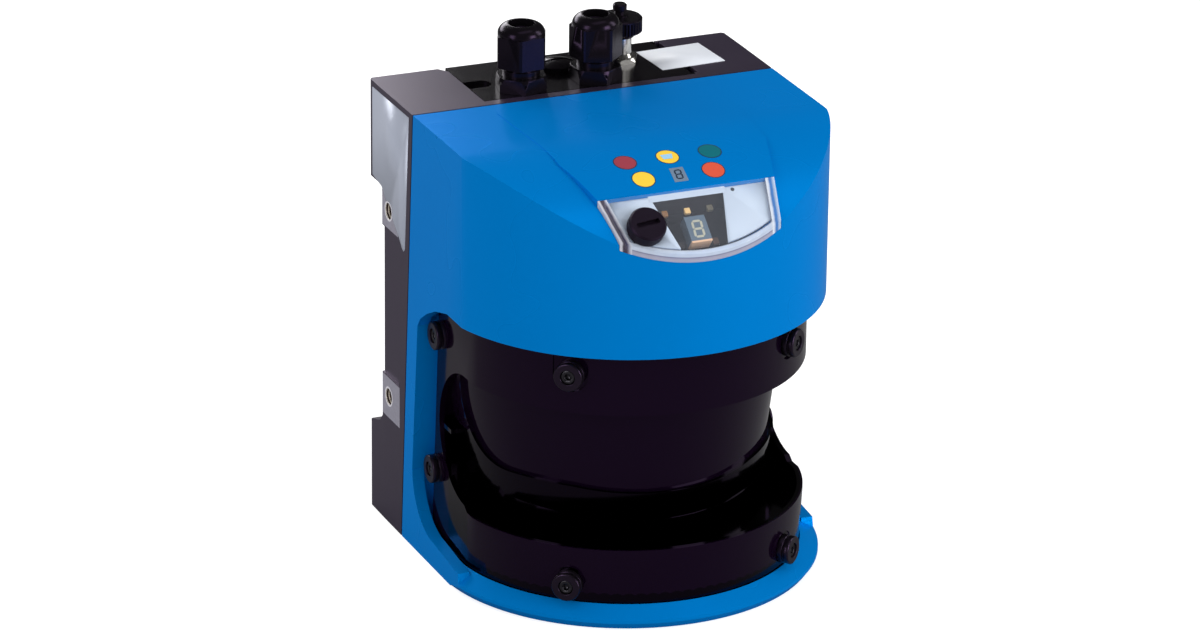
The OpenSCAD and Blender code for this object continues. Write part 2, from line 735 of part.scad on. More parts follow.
// one moulding: outer wall with the scan opening, ring wall, trough and the tapering scan window
module optics_cover() {
    t = cover_wall;
    ledge = 1.8;
    trough_z = 19;
    seat = 1;
    trough_end = 9.8;
    seat_r = bushing_r + 1.4;
    color([0.06, 0.05, 0.08]) difference() {
        intersection() {
            union() {
                // outer wall with the two bands, open all round the front between them
                difference() {
                    cover_body(0);
                    cover_body(t);
                    across(200) outer_opening();
                }
                // ring wall, cut by the lip's opening, and the lip that joins it to the window
                difference() {
                    translate([0, 0, trough_z]) linear_extrude(band_high_z - trough_z) ring_plan();
                    translate([0, 0, trough_z - 1]) linear_extrude(band_high_z) ring_plan(2);
                    across(200) lip_opening();
                }
                difference() {
                    intersection() {
                        union() {
                            translate([0, 0, 30]) linear_extrude(band_high_z - 30) ring_plan();
                            window_cone(1.9);
                        }
                        across(200) difference() {
                            lip_opening(2);
                            lip_opening();
                        }
                        translate([-100, -100, 30]) cube([200, 200, band_high_z - 30]);
                    }
                    window_cone(-2.2);
                }
                // window and the raised frame round it
                difference() {
                    intersection() {
                        union() {
                            window_cone(0);
                            intersection() {
                                window_cone(1.9);
                                across(200) difference() {
                                    lip_opening(1);
                                    window_opening();
                                }
                            }
                        }
                        translate([-100, -100, 34]) cube([200, 200, band_high_z + ledge - 34]);
                    }
                    window_cone(-2.2);
                }
                // trough floor, and the ledge between the upper band and the window
                difference() {
                    translate([0, axis_y, trough_z]) linear_extrude(2) round_front_plan(cover_r - 1.4, 0, cover_half - 1, 40);
                    translate([0, 0, trough_z - 1]) linear_extrude(4) ring_plan(1);
                }
                difference() {
                    translate([0, axis_y, band_high_z]) linear_extrude(ledge)
                        round_front_plan(cover_r - 1, 0, cover_half - 1, 40);
                    window_cone(-2.2);
                }
                // rear frame between the ring and the outer wall
                for (s = [-1, 1]) intersection() {
                    translate([s > 0 ? ring_r - 2 : -cover_half + 1, 0, trough_z])
                        cube([cover_half + 1 - ring_r, 60, band_high_z + ledge - trough_z]);
                    across(200) difference() {
                        cover_side();
                        cover_side(-2.4);
                    }
                }
                // end of the trough on each side, in front of the screw posts
                for (s = [-1, 1]) intersection() {
                    translate([s > 0 ? ring_r - 1 : -cover_half + 1, 0, trough_z]) cube([cover_half - ring_r, 30, 30]);
                    across(200) polygon([[trough_end, trough_z], [trough_end + 1.2, trough_z],
                        [trough_end + 1.2, 43.8], [17.6, 48.6], [17.6, 49.6], [trough_end, 44.2]]);
                }
                // horizontal shelf in each side
                for (s = [-1, 1]) translate([s > 0 ? ring_r - 1 : -cover_half + 1, 10, 57])
                    cube([cover_half - ring_r, 18, 1.8]);
            }
            across(200) cover_side();
        }
        // clearance for the posts behind the side screws
        for (s = [-1, 1], z = screw_side_z) translate([s > 0 ? cover_half - t - post : -cover_half + t,
                screw_side_y(z) - 4, z - 4]) cube([post, 30, 8]);
        // seats of the bushings, the front ones open upwards or downwards like a U
        at_front_screws() {
            translate([0, 0, -5]) cylinder(r = 3.4, h = 8, $fn = 48);
            translate([0, 0, -seat]) cylinder(r = seat_r, h = 4, $fn = 64);
        }
        at_front_screws([screw_front_z[0]]) translate([-seat_r, -12, -seat]) cube([2 * seat_r, 12, 4]);
        at_front_screws([screw_front_z[1]]) translate([-seat_r, 0, -seat]) cube([2 * seat_r, 14, 4]);
        at_side_screws() {
            translate([0, 0, -5 - side_lift]) cylinder(r = 3.4, h = 8, $fn = 48);
            translate([0, 0, -1 - side_lift]) cylinder(r = bushing_r + 0.9, h = 6, $fn = 64);
        }
    }
}

module cover_seal() {
    color([0.05, 0.05, 0.05]) intersection() {
        difference() {
            translate([0, 0, cover_top_z]) linear_extrude(seal_z - cover_top_z)
                round_front_plan(cover_r - 0.4, 0, cover_half - 0.4, 40);
            translate([0, 0, cover_top_z - 1]) linear_extrude(5) round_front_plan(cover_r - 2, 0, cover_half - 2, 60);
        }
        across(200) cover_side(-1);
    }
}

// spool-shaped bushing whose foot lies that far below the cover's face
module bushing(foot) {
    difference() {
        union() {
            translate([0, 0, -foot]) cylinder(r = bushing_r, h = foot + 1.2, $fn = 64);
            cylinder(r = bushing_r - 0.8, h = bushing_h - 1, $fn = 64);
            translate([0, 0, 1.8]) cylinder(r = bushing_r, h = bushing_h - 2.3, $fn = 64);
            translate([0, 0, bushing_h - 0.5 - eps]) cylinder(r1 = bushing_r, r2 = bushing_r - 0.5, h = 0.5, $fn = 64);
            translate([0, 0, -foot - 1.4]) cylinder(r = 3.3, h = 2, $fn = 48);
        }
        translate([0, 0, -foot - 3]) cylinder(r = 1.7, h = 12, $fn = 32);
        translate([0, 0, 0.6]) cylinder(r = 2.95, h = 8, $fn = 48);
    }
}

module cover_bushings() {
    color([0.06, 0.05, 0.06]) {
        at_front_screws() bushing(1);
        at_side_screws() bushing(0.8 + side_lift);
    }
}

module cover_screw(reach) {
    difference() {
        union() {
            translate([0, 0, 0.6]) cylinder(r = 2.75, h = 2.8, $fn = 48);
            translate([0, 0, -reach]) cylinder(r = 1.5, h = reach + 0.6 + eps, $fn = 32);
        }
        translate([0, 0, 1.9]) linear_extrude(3) hexagon(2.5);
    }
}

module cover_screws() {
    color([0.1, 0.1, 0.11]) {
        at_front_screws() cover_screw(8);
        at_side_screws() cover_screw(8 + side_lift);
    }
}

// ---------- scan head ----------

motor_r = 22;
shaft_r = 2.5;
disc_z = 36;

module at_axis(z = 0) {
    translate([0, axis_y, z]) children();
}

module spindle_motor() {
    color([0.6, 0.6, 0.62]) at_axis(flange_h - 1.4) difference() {
        union() {
            cylinder(r = 27.2, h = 2.4);
            cylinder(r = motor_r, h = 20);
            translate([0, 0, 20 - eps]) cylinder(r1 = motor_r, r2 = motor_r - 2, h = 2);
            cylinder(r = 6, h = 25);
        }
        translate([0, 0, 3]) cylinder(r = shaft_r + 0.05, h = 30, $fn = 64);
        for (a = [45 : 90 : 315]) rotate([0, 0, a]) translate([24.6, 0, -1]) cylinder(r = 1.6, h = 5, $fn = 32);
    }
}

// forked light barrier that reads the disc's edge
module encoder_sensor() {
    color([0.08, 0.08, 0.09]) at_axis() translate([30.5, -4, 0]) difference() {
        translate([0, 0, flange_h - 1.4]) cube([10.5, 8, 34.4]);
        translate([-1, -1, disc_z - 1.2]) cube([8.5, 10, 3.2]);
    }
}

module spindle_shaft() {
    color([0.8, 0.8, 0.82]) at_axis(11) cylinder(r = shaft_r, h = 31, $fn = 64);
}

// hub that carries the mirror at 45 degrees
module mirror_hub() {
    color([0.15, 0.15, 0.16]) at_axis() difference() {
        union() {
            translate([0, 0, 37.2]) cylinder(r = 11, h = 8.8);
            intersection() {
                translate([0, 0, 43]) cylinder(r = 20, h = 50);
                translate([0, 0, mirror_z - 1.2]) rotate([45, 0, 0]) translate([-30, -40, -40]) cube([60, 80, 40]);
                translate([-12, -40, 40]) cube([24, 80, 60]);
            }
        }
        translate([0, 0, 30]) cylinder(r = shaft_r, h = 12, $fn = 64);
    }
}

module scan_mirror() {
    color([0.85, 0.88, 0.92]) at_axis() intersection() {
        translate([0, 0, 40]) cylinder(r = 21, h = 60);
        translate([0, 0, mirror_z - 1.2]) rotate([45, 0, 0]) translate([-30, -45, 0]) cube([60, 90, 2]);
    }
}

module encoder_disc() {
    slots = 36;
    color([0.7, 0.7, 0.72]) at_axis(disc_z) difference() {
        cylinder(r = 34, h = 1.2);
        translate([0, 0, -1]) cylinder(r = shaft_r, h = 4, $fn = 64);
        for (i = [0 : slots - 1]) rotate([0, 0, i * 360 / slots]) translate([30.8, -0.7, -1]) cube([2, 1.4, 4]);
    }
}

module lens_holder() {
    color([0.12, 0.12, 0.13]) at_axis() difference() {
        union() {
            translate([0, 0, 104]) cylinder(r = 32.6, h = 34);
            translate([0, 0, seal_z + floor_t]) cylinder(r = 38, h = 3);
        }
        translate([0, 0, 103]) cylinder(r = 28, h = 36);
        translate([0, 0, 112]) cylinder(r = 30, h = 30);
    }
}

module receiver_lens() {
    color([0.8, 0.88, 0.95, 0.5]) at_axis(112) difference() {
        union() {
            cylinder(r = 29.9, h = 3);
            intersection() {
                translate([0, 0, -50]) sphere(r = 61.5);
                translate([0, 0, 3 - eps]) cylinder(r = 29.9, h = 12);
            }
        }
        translate([0, 0, -1]) cylinder(r = 8.6, h = 20);
    }
}

module laser_module() {
    color([0.72, 0.6, 0.35]) at_axis() {
        difference() {
            translate([0, 0, 100]) cylinder(r = 8.5, h = 42);
            translate([0, 0, 99]) cylinder(r = 6, h = 4);
        }
        translate([-32.4, -3, 138]) cube([64.8, 6, 4]);
    }
}

module receiver_board() {
    color([0.1, 0.3, 0.18]) at_axis(150) {
        translate([-30, -22, 0]) cube([60, 60, 1.6]);
        translate([0, 10, -4]) cylinder(r = 4, h = 4 + eps);
        for (s = [-1, 1]) translate([s * 26, 34, -29 - 150 + seal_z + floor_t + 29]) cylinder(r = 2.5, h = 150 - seal_z - floor_t, $fn = 32);
    }
}

// ---------- electronics in the rear housing ----------

board_y = 55;

module main_board() {
    color([0.08, 0.28, 0.16]) difference() {
        translate([-58, board_y, 12]) cube([116, 1.6, 128]);
        for (s = [-1, 1], z = [26, 126]) translate([s * 52, board_y - 1, z]) rotate([-90, 0, 0]) cylinder(r = 1.7, h = 4, $fn = 32);
    }
}

module board_standoffs() {
    color([0.75, 0.72, 0.6]) for (s = [-1, 1], z = [26, 126]) translate([s * 52, 0, z]) rotate([-90, 0, 0]) {
        translate([0, 0, board_y + 1.6]) cylinder(r = 3, h = mid_rear_y - wall - board_y - 1.6, $fn = 32);
        translate([0, 0, board_y - 1.4]) cylinder(r = 1.6, h = 4, $fn = 32);
        translate([0, 0, board_y - 1.8]) cylinder(r = 2.9, h = 1.8, $fn = 32);
    }
}

module board_chips() {
    color([0.1, 0.1, 0.1]) {
        translate([-14, board_y - 2.2, 78]) cube([28, 2.2, 28]);
        translate([-44, board_y - 1.6, 60]) cube([16, 1.6, 12]);
        translate([-44, board_y - 1.6, 84]) cube([16, 1.6, 12]);
        translate([26, board_y - 6, 50]) cube([20, 6, 14]);
        for (x = [-36, -20, 20]) translate([x, board_y, 36]) rotate([90, 0, 0]) cylinder(r = 5, h = 9);
    }
}

module module_connector() {
    color([0.15, 0.15, 0.17]) difference() {
        translate([-20, board_y - 5, 132]) cube([40, 5, 17.6]);
        translate([-18, board_y - 4, 136]) cube([36, 3, 14]);
    }
}

rear_housing();
front_housing();
housing_gasket();
connection_module();
module_screw();
gland_body_left();
gland_seal_left();
gland_nut_left();
gland_body_right();
gland_seal_right();
gland_nut_right();
blanking_plug();
signal_socket();
signal_cap();
rating_label();
check_sticker();
window_cover();
indicator_panel();
display_board();
digit_display();
status_leds();
service_port();
port_cap();
optics_cover();
cover_seal();
cover_bushings();
cover_screws();
spindle_motor();
encoder_sensor();
spindle_shaft();
mirror_hub();
scan_mirror();
encoder_disc();
lens_holder();
receiver_lens();
laser_module();
receiver_board();
main_board();
board_standoffs();
board_chips();
module_connector();
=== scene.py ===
"""Dresses the safety laser scanner: paints, mouldings, printed signs, indicator window and studio.

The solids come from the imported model; each keeps its place, and gets soft edges and a finish here.
Printed fields, display segments, bushings and screws are surfaces worked out with numpy. Lengths
are in metres; angles are in degrees in the stage's settings and in radians elsewhere.
"""

import math

import bpy
import numpy as np
from bpy.props import FloatProperty, FloatVectorProperty, IntProperty, PointerProperty
from mathutils import Matrix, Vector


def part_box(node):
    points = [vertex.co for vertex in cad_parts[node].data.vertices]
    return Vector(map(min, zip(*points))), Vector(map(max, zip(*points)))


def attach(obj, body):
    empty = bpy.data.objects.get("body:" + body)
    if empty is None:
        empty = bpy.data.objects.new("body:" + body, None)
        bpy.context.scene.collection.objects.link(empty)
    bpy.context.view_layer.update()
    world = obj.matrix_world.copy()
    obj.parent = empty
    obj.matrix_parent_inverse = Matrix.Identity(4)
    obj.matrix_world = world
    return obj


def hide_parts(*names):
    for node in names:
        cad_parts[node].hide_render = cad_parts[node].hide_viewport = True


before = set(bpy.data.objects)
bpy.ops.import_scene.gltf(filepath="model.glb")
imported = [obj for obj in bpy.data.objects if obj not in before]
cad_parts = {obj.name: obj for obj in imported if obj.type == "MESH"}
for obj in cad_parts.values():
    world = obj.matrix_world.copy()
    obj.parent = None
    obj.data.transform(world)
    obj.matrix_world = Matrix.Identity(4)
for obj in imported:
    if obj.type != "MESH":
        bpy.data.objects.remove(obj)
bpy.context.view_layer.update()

bl_info = {
    "name": "Safety laser scanner",
    "version": (1, 0, 0),
    "blender": (4, 5, 0),
    "location": "View3D > Sidebar > Scanner",
    "description": "Finishes, printed fields and studio for the safety laser scanner",
    "category": "Object",
}

MM = 0.001
BLACK_TINT = (0.78, 0.5, 1.0)     # reflections on the black parts have a trace of purple
BLACK = (0.0, 0.0, 0.0, 1.0)

# Rear casting: edges of the bare fields on its sides, in depth and in height, and the tapped holes
UPPER_PAD = ((0.0485, 0.067), (0.128, 0.142))
LOWER_PAD = ((0.047, 0.0673), (0.0463, 0.0637))
PAD_SKIN = 0.0004                 # faces this near to the side are the side's own
HOLE_Y = 0.059
HOLE_HEIGHTS = (0.0555, 0.1355)
HOLE_CHAMFER = (0.0034, 0.0042)   # radii of the hole's chamfer, painted near white as a painted highlight
THREAD_RADIUS = 0.0037
THREAD_DEPTH = 0.0098             # how far in from the side the thread is seen

# Optics cover: the trough, painted pure black as painted shade, lies inside the outer wall and
# outside the window's cone
TROUGH_RADIUS = 0.0717
TROUGH_TOP = 0.0601
TROUGH_FLOOR = 0.033              # under this height, all within the wall is trough
CONE_Y = 0.011                    # axis of the window's cone
CONE_FOOT = 0.0568                # its radius at height 0
CONE_WIDENING = 0.1228            # growth of the radius per unit of height

# Bushings and screws of the optics cover
COVER_RADIUS = 0.0726
COVER_LEAN = 12.5 / 185           # how far the cover's back edge leans per unit of height
FRONT_SCREW_TURN = math.radians(40)
FRONT_SCREW_Z = (0.0153, 0.104)
SIDE_SCREW_X = 0.0706
SIDE_SCREW_BACK = 0.0253          # depth of a side screw's axis, before the lean
SIDE_SCREW_Z = (0.0376, 0.0964)
SEAT_X = 0.07098                  # the cover's flat side, where the solids have their own seats
SEAT_AHEAD = 0.0069               # how far those seats lie in front of the screws' axes
SOCKET_RADIUS = 1.06              # profile radii up to this belong to a screw's socket
SOCKET_HALF = 1.25                # the socket's half width across its flats

# Turned profiles, radius and height over the cover's face in millimetres: a spool-shaped bushing,
# a screw's head, and the disc that closes a seat
SPOOL = (
    (3.0, 0.6), (3.0, 3.8), (3.1, 4.0), (3.25, 4.0), (5.05, 4.0), (5.3, 4.0), (5.65, 3.8),
    (5.8, 3.5), (5.8, 2.05), (5.75, 1.9), (5.2, 1.8), (5.0, 1.7), (5.0, 1.3), (5.2, 1.2),
    (5.75, 1.1), (5.8, 1.0), (5.8, -0.8),
)
SCREW = (
    (0.0, 1.9), (1.0, 1.9), (1.0, 3.3), (1.06, 3.4), (2.4, 3.4), (2.65, 3.35), (2.75, 3.2),
    (2.75, 0.7),
)
SEAT_DISC = ((0.1, 0.0), (3.4, 0.0), (6.7, 0.0))

# Indicator window: its slope, its plan, and painted reflections streaking its thickness, as places
# and colours
WINDOW_SLOPE = math.radians(40)
WINDOW_FRONT = 0.0746             # how far in front of the middle its slanting sides would end
WINDOW_SLANT = 0.0039             # how much narrower each side is there
BORDER_WIDTH = 0.0038
BORDER_BLUR = 0.0002
RIM_WIDTH = (0.0010, 0.0015)      # where the rim's painted reflections begin to fade, and where they end
RIM_HEIGHT = 0.0028
LEFT_REFLECTIONS = (
    (0.0, (200, 200, 212)), (0.16, (206, 206, 216)), (0.3, (64, 58, 74)), (0.62, (74, 66, 84)),
    (0.78, (160, 160, 176)), (1.0, (220, 224, 232)),
)
RIGHT_REFLECTIONS = (
    (0.0, (196, 212, 236)), (0.2, (170, 188, 216)), (0.42, (60, 120, 190)),
    (0.6, (70, 120, 186)), (0.78, (206, 216, 232)), (1.0, (226, 232, 240)),
)
RIM_REFLECTIONS = (
    (0.0, (198, 208, 224)), (0.34, (204, 212, 226)), (0.42, (128, 128, 150)),
    (0.55, (168, 164, 180)), (0.85, (176, 174, 190)), (1.0, (110, 150, 200)),
)

# Behind the window: half width of the sheet's cut-out, the web over it and the wall in it, given
# down the window or down from its upper edge, and places out of the window's face
CUT_OUT_HALF = 0.0168
WEB_HALF = 0.96 * CUT_OUT_HALF
WEB_EDGES = (0.0004, 0.0034)
WEB_OUT = -0.00101
WALL_BACK = 0.0007
WALL_EDGES = (0.0030, 0.0160)
DOT_PLACE = (0.019, 0.0025)
DOT_RADIUS = 0.0008
DOT_OUT = -0.00102
DIGIT_SIZE = (0.0036, 0.0068, 0.00095, 0.06)
DIGIT_OUT = -0.00162
BLOCK_FOOT = 0.0034               # length of the display block's amber lower side
MIDDLE_LAMP = (0.35, 0.65)        # the middle lamps' share of the width over all lamps

# Printed signs: discs by name, place across, row and ink, and fields by their corners, which go
# front left, front right, rear right, rear left, about their row
LIFT = 0.00006                    # height of ink over the paint
SIGN_LIFT = 0.00012               # height of ink that lies on other ink
BARS_LIFT = 0.00014
DISCS = (
    ("stop", -0.0179, "rear_row", "stop_red"),
    ("window", 0.0, "rear_row", "warn_yellow"),
    ("clear", 0.0179, "rear_row", "clear_green"),
    ("warning", -0.0148, "front_row", "warn_yellow"),
    ("output", 0.0146, "front_row", "output_orange"),
)
OUTLINE = (0.99, 1.07)            # inner and outer radius of a disc's outline, in disc radii
WINDOW_SIGN = ((-0.0022, -0.0015), (0.0016, -0.0015), (0.0024, 0.0015), (-0.0026, 0.0015))
DIGIT_FIELD = ((-0.0032, -0.0038), (0.0026, -0.0038), (0.0032, 0.0038), (-0.0026, 0.0038))
FIELD_DIGIT = (0.0024, 0.0046, 0.0006, 0.1)

# Studio: lamps by name, place, aim, size and power in watts, and what the room and the floor show
LAMPS = (
    ("right", (1.5, -0.3, 0.8), (0, 0, 0.1), (0.5, 1.0), 6.5),
    ("front_right", (1.0, -1.5, 0.5), (0, 0, 0.1), (0.8, 0.9), 18),
    ("left", (-1.6, -0.6, 0.6), (0, 0, 0.1), (0.6, 1.0), 9),
    ("overhead", (0.1, -0.3, 1.4), (0, 0, 0.1), (1.2, 0.5), 1.5),
    ("back", (-0.25, 1.5, 0.72), (0, 0, 0.15), (1.5, 0.5), 15),
)
ROOM_IN_REFLECTIONS = 0.03
FLOOR_GREY = (0.45, 0.45, 0.45, 1)
FLOOR_IN_REFLECTIONS = (0.2, 0.2, 0.2, 1)
FLOOR_GLOW = (0.72, 0.72, 0.72, 1)


# ---------- sizes and colours a user would change ----------


def linear(value):
    """A display value of 0 to 255 as linear light."""
    c = value / 255
    return c / 12.92 if c <= 0.04045 else ((c + 0.055) / 1.055) ** 2.4


def tone(*values):
    """A shader's colour from red, green and blue of 0 to 255, as a paint chart gives them."""
    return (*[linear(v) for v in values], 1.0)


def paint_colour(name, description, *values):
    """A colour property, its default given in 0 to 255."""
    return FloatVectorProperty(
        name=name, description=description, subtype="COLOR", size=3, min=0, max=1,
        default=tone(*values)[:3],
    )


def length(name, description, default, low, high):
    """A length property with its range."""
    return FloatProperty(
        name=name, description=description, default=default, min=low, max=high,
        subtype="DISTANCE", unit="LENGTH",
    )


class ScannerFinish(bpy.types.PropertyGroup):
    """Colours and glosses of the castings and mouldings."""

    hood_blue: paint_colour("Hood blue", "Paint of the front casting", 0, 124, 205)
    housing_black: paint_colour("Housing black", "Paint of the rear casting", 40, 34, 48)
    optics_black: paint_colour("Optics black", "Infrared-clear optics cover", 11, 3, 16)
    plastic_black: paint_colour("Plastic black", "Glands, caps and bushings", 13, 11, 14)
    foil_silver: paint_colour("Label silver", "Blank rating label", 176, 182, 198)
    foil_white: paint_colour("Sticker white", "Blank check sticker", 212, 216, 224)
    panel_white: paint_colour("Panel white", "Sheet behind the indicator window", 186, 200, 218)
    thread_pitch: length(
        "Thread pitch", "Pitch of the tapped mounting holes", 0.00125, 0.001, 0.0015
    )
    edge_round: length(
        "Edge rounding", "Rounding of the front casting's edges", 0.0009, 0.0002, 0.002
    )


class ScannerSigns(bpy.types.PropertyGroup):
    """Printed fields on the bonnet and the display's digit."""

    disc_width: length("Disc width", "Width of a printed disc", 0.0088, 0.006, 0.011)
    rear_row: length(
        "Rear row", "Place of the rear row of discs, in front of the middle", 0.0398, 0.037, 0.042
    )
    front_row: length(
        "Front row", "Place of the front row of discs, in front of the middle", 0.0508, 0.049, 0.052
    )
    bend_radius: length(
        "Bonnet bend", "Radius of the bonnet's bend, which the print follows", 0.1, 0.095, 0.105
    )
    bend_start: length(
        "Bend start", "Where the bonnet begins to bend, in front of the middle", 0.015, 0.01, 0.02
    )
    stop_red: paint_colour("Stop red", "First disc of the rear row", 150, 56, 70)
    warn_yellow: paint_colour("Warning yellow", "Middle rear and first front disc", 238, 196, 58)
    clear_green: paint_colour("Clear green", "Last disc of the rear row", 0, 102, 112)
    output_orange: paint_colour("Output orange", "Last disc of the front row", 208, 80, 56)
    field_grey: paint_colour("Field grey", "Printed digit field", 104, 124, 146)
    outline_dark: paint_colour("Outline dark", "Discs' outlines and the field's digit", 38, 52, 70)
    segment_cream: paint_colour("Segment cream", "Display's unlit segments", 176, 176, 158)


class ScannerStage(bpy.types.PropertyGroup):
    """Camera and studio light."""

    azimuth: FloatProperty(
        name="Azimuth", description="Camera's bearing from the front, in degrees", default=-23.34
    )
    elevation: FloatProperty(
        name="Elevation", description="Camera's height above the horizon, in degrees",
        default=21.62,
    )
    roll: FloatProperty(name="Roll", description="Camera's roll, in degrees", default=0.68)
    distance: length("Distance", "Camera's distance", 2.4, 1.0, 10.0)
    aim_height: length("Aim height", "Height that the camera looks at", 0.0925, 0.0, 0.3)
    aim_right: length("Aim right", "Aim's shift to the right in the view", -0.00951, -0.1, 0.1)
    aim_up: length("Aim up", "Aim's shift upwards in the view", 0.00832, -0.1, 0.1)
    lens: FloatProperty(name="Lens", description="Focal length in millimetres", default=180.87)
    room_light: FloatProperty(
        name="Room light", description="Strength of the even room light", default=0.76
    )
    side: IntProperty(
        name="Floor side", description="Width of the floor in metres", default=6, min=2, max=12
    )


# ---------- shader helpers ----------


class Wire:
    """A shader socket that can be added, multiplied and compared like a number."""

    def __init__(self, tree, socket=None):
        self.tree = tree
        self.socket = socket

    def node(self, kind, settings=None, **inputs):
        """Adds a node of that type, applies its settings, then fills its inputs.

        An input is given by its name, or by its number as n0, n1 and so on."""
        made = self.tree.nodes.new(kind)
        for key, value in (settings or {}).items():
            if key == "stops":
                set_stops(made.color_ramp, value)
            else:
                setattr(made, key, value)
        for key, value in inputs.items():
            numbered = key[0] == "n" and key[1:].isdigit()
            self.feed(made.inputs[int(key[1:]) if numbered else key.replace("_", " ")], value)
        return made

    def feed(self, socket, value):
        """Links a wire to a socket, or sets the socket's own value."""
        if isinstance(value, Wire):
            self.tree.links.new(value.socket, socket)
        else:
            socket.default_value = value

    def of(self, socket):
        """Another socket of the same tree as a wire."""
        return Wire(self.tree, socket)

    def maths(self, operation, first, second=0.0):
        """A Math node on two values or wires."""
        made = self.node("ShaderNodeMath", {"operation": operation}, n0=first, n1=second)
        return self.of(made.outputs[0])

    def __add__(self, other):
        return self.maths("ADD", self, other)

    def __radd__(self, other):
        return self.maths("ADD", other, self)

    def __sub__(self, other):
        return self.maths("SUBTRACT", self, other)

    def __rsub__(self, other):
        return self.maths("SUBTRACT", other, self)

    def __mul__(self, other):
        return self.maths("MULTIPLY", self, other)

    def __rmul__(self, other):
        return self.maths("MULTIPLY", other, self)

    def __truediv__(self, other):
        return self.maths("DIVIDE", self, other)

    def __rtruediv__(self, other):
        return self.maths("DIVIDE", other, self)

    def __gt__(self, other):
        return self.maths("GREATER_THAN", self, other)

    def __lt__(self, other):
        return self.maths("LESS_THAN", self, other)

    def without_sign(self):
        """The value's size, whatever its sign."""
        return self.maths("ABSOLUTE", self)

    def soft(self, low, high):
        """0 below low, 1 above high, smooth between."""
        made = self.node(
            "ShaderNodeMapRange", {"interpolation_type": "SMOOTHSTEP"},
            Value=self, From_Min=low, From_Max=high,
        )
        return self.of(made.outputs[0])

    def mix(self, first, second):
        """The first colour where this is 0, the second where it is 1."""
        made = self.node("ShaderNodeMix", {"data_type": "RGBA"}, Factor=self, n6=first, n7=second)
        return self.of(made.outputs[2])

    def ramp(self, streaks):
        """The colour at this place along a ramp, its colours given in 0 to 255."""
        stops = [(place, tone(*colour)) for place, colour in streaks]
        made = self.node("ShaderNodeValToRGB", {"stops": stops}, Fac=self)
        return self.of(made.outputs[0])


def set_stops(ramp, stops):
    """Gives a ramp its places and colours, adding elements as needed."""
    while len(ramp.elements) < len(stops):
        ramp.elements.new(1.0)
    for element, (place, colour) in zip(ramp.elements, stops):
        element.position = place
        element.color = colour


def distance(across, along):
    """Distance from an axis: the root of the sum of the squares of the measures across it."""
    square = across * across + along * along
    return square.maths("SQRT", square)


def between(value, low, high, blur=0.0001):
    """1 between two places, 0 outside, with a hair of blur at each."""
    return value.soft(low - blur, low + blur) * (1.0 - value.soft(high - blur, high + blur))


class Finish:
    """A new material with its shader, and the object's coordinates as wires."""

    def __init__(self, name):
        self.material = bpy.data.materials.new(name)
        self.material.use_nodes = True
        tree = self.material.node_tree
        self.shader = tree.nodes["Principled BSDF"]
        self.place = Wire(tree, Wire(tree).node("ShaderNodeTexCoord").outputs["Object"])
        parts = self.place.node("ShaderNodeSeparateXYZ", n0=self.place)
        self.x, self.y, self.z = [self.place.of(o) for o in parts.outputs]

    def set(self, **sockets):
        """Constants and wires for the shader's own sockets."""
        for key, value in sockets.items():
            if isinstance(value, (list, tuple)) and len(value) == 3:
                value = (*value, 1.0)
            self.place.feed(self.shader.inputs[key.replace("_", " ")], value)
        return self

    def grain(self, size, detail=2.0):
        """Noise of that grain size in metres, from 0 to 1."""
        made = self.place.node(
            "ShaderNodeTexNoise", Vector=self.place, Scale=1 / size, Detail=detail
        )
        return self.place.of(made.outputs[0])

    def bump(self, height, depth):
        """A bump of that depth in metres on the shader's normal."""
        made = self.place.node("ShaderNodeBump", Height=height, Distance=depth, Strength=1.0)
        return self.set(Normal=self.place.of(made.outputs[0]))


def shade(colour, factor):
    """A colour, darker or lighter by a factor."""
    return (*[min(1.0, c * factor) for c in colour[:3]], 1.0)


# ---------- finishes ----------


def hood_paint():
    """Glossy stove enamel with slight changes of gloss.

    Its metallic share makes the lamps reflect blue."""
    wish = bpy.context.scene.scanner_finish
    made = Finish("hood_paint")
    cloud = made.grain(0.05)
    colour = cloud.mix(shade(wish.hood_blue, 0.97), shade(wish.hood_blue, 1.03))
    made.set(Base_Color=colour, Roughness=0.24 + 0.06 * cloud, Specular_IOR_Level=0.03)
    made.set(Specular_Tint=(0.0, 0.45, 1.0), Metallic=0.3)
    return made.material


